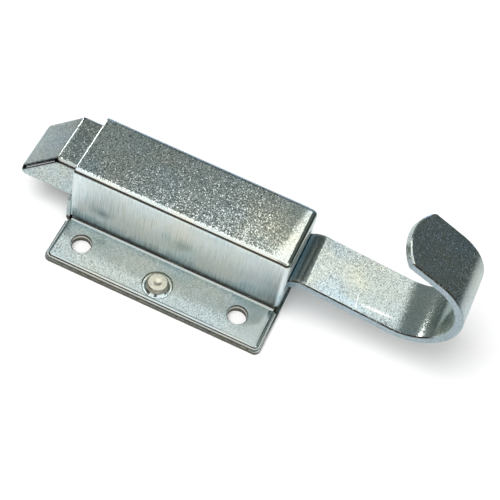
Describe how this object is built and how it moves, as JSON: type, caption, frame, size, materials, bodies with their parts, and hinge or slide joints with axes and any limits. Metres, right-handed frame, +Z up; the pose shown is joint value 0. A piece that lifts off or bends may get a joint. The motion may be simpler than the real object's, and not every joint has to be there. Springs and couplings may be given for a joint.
{
  "type": "spring latch with hook pull",
  "caption": "Spring-loaded slide latch: sloping bolt in a pressed steel case with a side screw flange, drawn back by a flat strip handle that curls up into a finger hook.",
  "frame": {"origin": "middle of the two screw holes, on the mounting face", "axes": "+X from the sloping bolt towards the hook pull, +Y from the screw flange towards the case, +Z up off the mounting face"},
  "size_m": [0.1492, 0.042, 0.0561],
  "materials": {
    "zinc_case": "clear zinc plated pressed steel",
    "zinc_plate": "clear zinc plated sheet steel",
    "zinc_bolt": "clear zinc plated folded steel",
    "zinc_strip": "clear zinc plated steel strip",
    "bare_rivet": "turned steel, faint yellow",
    "spring_wire": "drawn spring wire",
    "rod_steel": "bright drawn steel"
  },
  "bodies": {
    "case": {"housing": "zinc_case", "base_plate": "zinc_plate", "flange_rivet": "bare_rivet", "return_spring": "spring_wire"},
    "bolt": {"latch_bolt": "zinc_bolt", "pull_handle": "zinc_strip", "spring_rod": "rod_steel"}
  },
  "joints": [
    {"name": "bolt_slide", "type": "slide", "parent": "case", "child": "bolt", "axis": [1, 0, 0], "range_m": [0, 0.017], "stiffness_N_per_m": 1900, "springref_m": -0.008, "deforming": ["return_spring"]}
  ]
}
